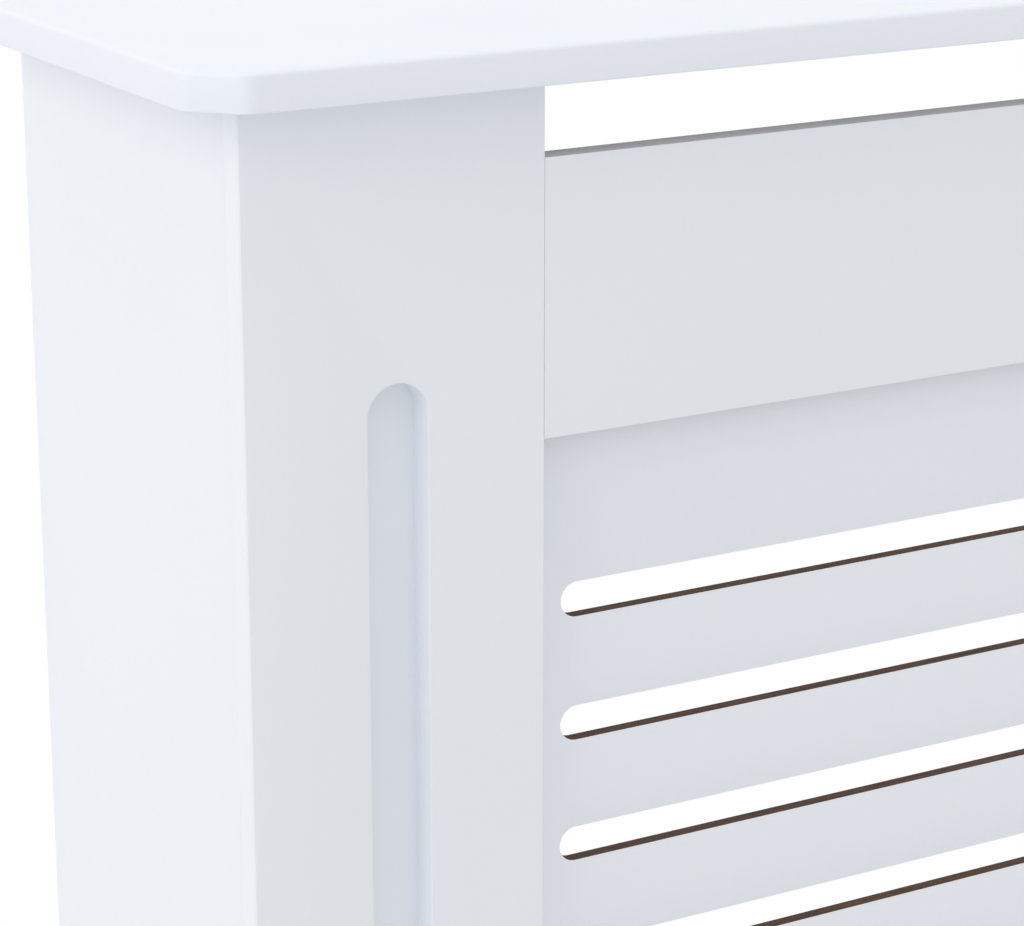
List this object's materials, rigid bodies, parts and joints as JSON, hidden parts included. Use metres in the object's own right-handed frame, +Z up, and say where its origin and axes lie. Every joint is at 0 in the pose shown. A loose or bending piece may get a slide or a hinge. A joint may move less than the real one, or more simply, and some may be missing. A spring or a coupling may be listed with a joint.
{
  "type": "radiator cover cabinet",
  "caption": "White painted radiator cover: an overhanging shelf with clipped corners on a box with fluted pilasters and a slotted grille, open at the back and below.",
  "frame": {"origin": "on the floor, in the middle of the cabinet's width and depth", "axes": "+X to the right seen from the front, +Y from the front towards the wall, +Z up"},
  "size_m": [1.12, 0.19, 0.815],
  "materials": {
    "white_paint": "satin white paint on fibreboard",
    "grille_paint": "satin white paint on thin fibreboard, raw brown on the cut edges of the slots",
    "pine": "planed pine, unfinished",
    "beech": "turned beech, unfinished",
    "zinc_steel": "bright zinc plate",
    "grey_plastic": "moulded, satin"
  },
  "bodies": {
    "root": {"side_panel_left": "white_paint", "side_panel_right": "white_paint", "corner_batten_left": "pine", "corner_batten_right": "pine", "shelf_cleat_left": "pine", "shelf_cleat_right": "pine", "pilaster_left": "white_paint", "pilaster_right": "white_paint", "upper_rail": "white_paint", "lower_rail": "white_paint", "grille_panel": "grille_paint", "centre_brace": "pine", "top_shelf": "white_paint", "wall_bracket_left": "zinc_steel", "wall_bracket_right": "zinc_steel", "shelf_screw_left_1": "zinc_steel", "cleat_screw_left_1": "zinc_steel", "panel_screw_left_1": "zinc_steel", "pilaster_screw_left_1": "zinc_steel", "shelf_screw_left_2": "zinc_steel", "cleat_screw_left_2": "zinc_steel", "panel_screw_left_2": "zinc_steel", "pilaster_screw_left_2": "zinc_steel", "shelf_screw_right_1": "zinc_steel", "cleat_screw_right_1": "zinc_steel", "panel_screw_right_1": "zinc_steel", "pilaster_screw_right_1": "zinc_steel", "shelf_screw_right_2": "zinc_steel", "cleat_screw_right_2": "zinc_steel", "panel_screw_right_2": "zinc_steel", "pilaster_screw_right_2": "zinc_steel", "brace_screw_upper": "zinc_steel", "grille_screw_upper_left": "zinc_steel", "grille_screw_upper_right": "zinc_steel", "brace_screw_lower": "zinc_steel", "grille_screw_lower_left": "zinc_steel", "grille_screw_lower_right": "zinc_steel", "bracket_screw_left": "zinc_steel", "bracket_screw_right": "zinc_steel", "dowel_upper_rail_left_1": "beech", "dowel_upper_rail_left_2": "beech", "dowel_lower_rail_left_1": "beech", "dowel_lower_rail_left_2": "beech", "dowel_shelf_left_1": "beech", "dowel_shelf_left_2": "beech", "dowel_upper_rail_right_1": "beech", "dowel_upper_rail_right_2": "beech", "dowel_lower_rail_right_1": "beech", "dowel_lower_rail_right_2": "beech", "dowel_shelf_right_1": "beech", "dowel_shelf_right_2": "beech", "foot_glide_front_left": "grey_plastic", "foot_glide_rear_left": "grey_plastic", "foot_glide_front_right": "grey_plastic", "foot_glide_rear_right": "grey_plastic"}
  },
  "joints": []
}
